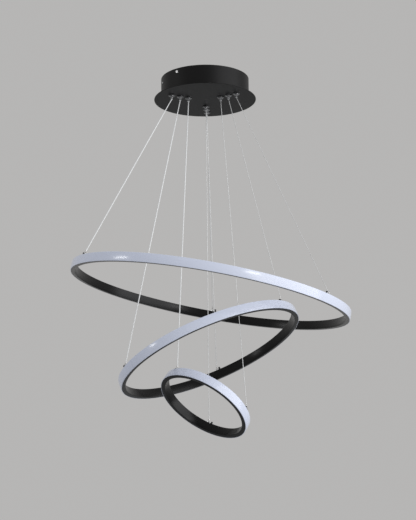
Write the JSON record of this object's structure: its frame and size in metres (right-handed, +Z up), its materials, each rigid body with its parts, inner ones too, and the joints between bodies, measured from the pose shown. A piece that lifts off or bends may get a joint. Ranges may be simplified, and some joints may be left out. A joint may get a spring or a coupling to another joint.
{
  "type": "pendant light",
  "caption": "Pendant light of nested lit rings, each tilted its own way and hung on thin cables from a round ceiling canopy with sprung cable grippers.",
  "frame": {"origin": "centre of the two ceiling screw holes, on the ceiling plane", "axes": "+Z up into the ceiling, +X to the right and +Y away from the viewer of the front, so the rings hang at -Z"},
  "size_m": [0.5928, 0.6002, 0.7784],
  "materials": {
    "black_paint": "fine matt black powder coat",
    "black_aluminium": "satin black anodised",
    "opal": "glossy white opal",
    "chrome": "polished chrome plate",
    "zinc_steel": "bright zinc plate",
    "black_steel": "black oxide",
    "crimp_steel": "pressed nickel plate",
    "wire_rope": "bright stranded steel",
    "clear_jacket": "clear plastic over tinned conductors",
    "led_board": "white coated board",
    "driver_case": "white moulded case",
    "terminal_plastic": "natural nylon",
    "foam": "closed cell foam tape"
  },
  "bodies": {
    "canopy": {"canopy_drum": "black_paint", "canopy_plate": "black_paint", "plate_nuts": "zinc_steel", "ceiling_bracket": "zinc_steel", "bracket_screws": "chrome", "earth_screw": "zinc_steel", "terminal_block": "terminal_plastic", "driver_pads": "foam", "gripper_barrels": "chrome", "gripper_nuts": "zinc_steel", "gripper_springs": "zinc_steel", "large_driver": "driver_case", "medium_driver": "driver_case", "small_driver": "driver_case", "large_left_cable": "clear_jacket", "large_right_cable": "wire_rope", "large_far_cable": "wire_rope", "medium_left_cable": "clear_jacket", "medium_right_cable": "wire_rope", "medium_far_cable": "wire_rope", "small_left_cable": "clear_jacket", "small_right_cable": "wire_rope", "small_far_cable": "wire_rope"},
    "large_left_end": {"large_left_cable_end": "crimp_steel"},
    "large_right_end": {"large_right_cable_end": "crimp_steel"},
    "large_ring": {"large_profile": "black_aluminium", "large_diffuser": "opal", "large_led_strip": "led_board", "large_splice": "zinc_steel", "large_anchor_bridges": "chrome", "large_anchor_screws": "black_steel", "large_far_cable_end": "crimp_steel"},
    "large_left_plunger": {"large_left_plunger": "chrome"},
    "large_right_plunger": {"large_right_plunger": "chrome"},
    "large_far_plunger": {"large_far_plunger": "chrome"},
    "medium_left_end": {"medium_left_cable_end": "crimp_steel"},
    "medium_right_end": {"medium_right_cable_end": "crimp_steel"},
    "medium_ring": {"medium_profile": "black_aluminium", "medium_diffuser": "opal", "medium_led_strip": "led_board", "medium_splice": "zinc_steel", "medium_anchor_bridges": "chrome", "medium_anchor_screws": "black_steel", "medium_far_cable_end": "crimp_steel"},
    "medium_left_plunger": {"medium_left_plunger": "chrome"},
    "medium_right_plunger": {"medium_right_plunger": "chrome"},
    "medium_far_plunger": {"medium_far_plunger": "chrome"},
    "small_left_end": {"small_left_cable_end": "crimp_steel"},
    "small_right_end": {"small_right_cable_end": "crimp_steel"},
    "small_ring": {"small_profile": "black_aluminium", "small_diffuser": "opal", "small_led_strip": "led_board", "small_splice": "zinc_steel", "small_anchor_bridges": "chrome", "small_anchor_screws": "black_steel", "small_far_cable_end": "crimp_steel"},
    "small_left_plunger": {"small_left_plunger": "chrome"},
    "small_right_plunger": {"small_right_plunger": "chrome"},
    "small_far_plunger": {"small_far_plunger": "chrome"}
  },
  "joints": [
    {"name": "large_left_lift", "type": "hinge", "parent": "canopy", "child": "large_left_end", "pos_m": [0.12883, 0.08034, -0.47668], "axis": [-0.4437, 0.8873, 0.1255], "range_deg": [0, 6.9], "deforming": ["large_left_cable"]},
    {"name": "large_right_lift", "type": "hinge", "parent": "large_left_end", "child": "large_right_end", "pos_m": [-0.11795, 0.09903, -0.42875], "axis": [-0.522, -0.8508, 0.0603], "range_deg": [0, 6.5], "deforming": ["large_right_cable"]},
    {"name": "large_far_lift", "type": "hinge", "parent": "large_right_end", "child": "large_ring", "pos_m": [-0.00199, -0.13289, -0.46157], "axis": [0.979, -0.0741, -0.1901], "range_deg": [0, 6.6], "deforming": ["large_far_cable"]},
    {"name": "large_left_release", "type": "slide", "parent": "canopy", "child": "large_left_plunger", "axis": [0, 0, 1], "range_m": [0, 0.002], "stiffness_N_per_m": 800, "springref_m": -0.0025, "deforming": ["gripper_springs"]},
    {"name": "large_right_release", "type": "slide", "parent": "canopy", "child": "large_right_plunger", "axis": [0, 0, 1], "range_m": [0, 0.002], "stiffness_N_per_m": 800, "springref_m": -0.0025, "deforming": ["gripper_springs"]},
    {"name": "large_far_release", "type": "slide", "parent": "canopy", "child": "large_far_plunger", "axis": [0, 0, 1], "range_m": [0, 0.002], "stiffness_N_per_m": 800, "springref_m": -0.0025, "deforming": ["gripper_springs"]},
    {"name": "medium_left_lift", "type": "hinge", "parent": "canopy", "child": "medium_left_end", "pos_m": [0.08601, 0.0476, -0.55763], "axis": [-0.4022, 0.873, -0.276], "range_deg": [0, 8.2], "deforming": ["medium_left_cable"]},
    {"name": "medium_right_lift", "type": "hinge", "parent": "medium_left_end", "child": "medium_right_end", "pos_m": [-0.07333, 0.05214, -0.6222], "axis": [-0.5546, -0.8242, -0.1145], "range_deg": [0, 8.9], "deforming": ["medium_right_cable"]},
    {"name": "medium_far_lift", "type": "hinge", "parent": "medium_right_end", "child": "medium_ring", "pos_m": [-0.00734, -0.09112, -0.5769], "axis": [0.9265, -0.0263, 0.3754], "range_deg": [0, 8.7], "deforming": ["medium_far_cable"]},
    {"name": "medium_left_release", "type": "slide", "parent": "canopy", "child": "medium_left_plunger", "axis": [0, 0, 1], "range_m": [0, 0.002], "stiffness_N_per_m": 800, "springref_m": -0.0025, "deforming": ["gripper_springs"]},
    {"name": "medium_right_release", "type": "slide", "parent": "canopy", "child": "medium_right_plunger", "axis": [0, 0, 1], "range_m": [0, 0.002], "stiffness_N_per_m": 800, "springref_m": -0.0025, "deforming": ["gripper_springs"]},
    {"name": "medium_far_release", "type": "slide", "parent": "canopy", "child": "medium_far_plunger", "axis": [0, 0, 1], "range_m": [0, 0.002], "stiffness_N_per_m": 800, "springref_m": -0.0025, "deforming": ["gripper_springs"]},
    {"name": "small_left_lift", "type": "hinge", "parent": "canopy", "child": "small_left_end", "pos_m": [0.04068, -0.00155, -0.73413], "axis": [-0.5023, 0.8637, -0.0415], "range_deg": [0, 13], "deforming": ["small_left_cable"]},
    {"name": "small_right_lift", "type": "hinge", "parent": "small_left_end", "child": "small_right_end", "pos_m": [-0.02965, -0.00118, -0.69214], "axis": [-0.3727, -0.7642, 0.5264], "range_deg": [0, 13], "deforming": ["small_right_cable"]},
    {"name": "small_far_lift", "type": "hinge", "parent": "small_right_end", "child": "small_ring", "pos_m": [0.0087, -0.06712, -0.68897], "axis": [0.8586, -0.0045, -0.5127], "range_deg": [0, 12.3], "deforming": ["small_far_cable"]},
    {"name": "small_left_release", "type": "slide", "parent": "canopy", "child": "small_left_plunger", "axis": [0, 0, 1], "range_m": [0, 0.002], "stiffness_N_per_m": 800, "springref_m": -0.0025, "deforming": ["gripper_springs"]},
    {"name": "small_right_release", "type": "slide", "parent": "canopy", "child": "small_right_plunger", "axis": [0, 0, 1], "range_m": [0, 0.002], "stiffness_N_per_m": 800, "springref_m": -0.0025, "deforming": ["gripper_springs"]},
    {"name": "small_far_release", "type": "slide", "parent": "canopy", "child": "small_far_plunger", "axis": [0, 0, 1], "range_m": [0, 0.002], "stiffness_N_per_m": 800, "springref_m": -0.0025, "deforming": ["gripper_springs"]}
  ]
}
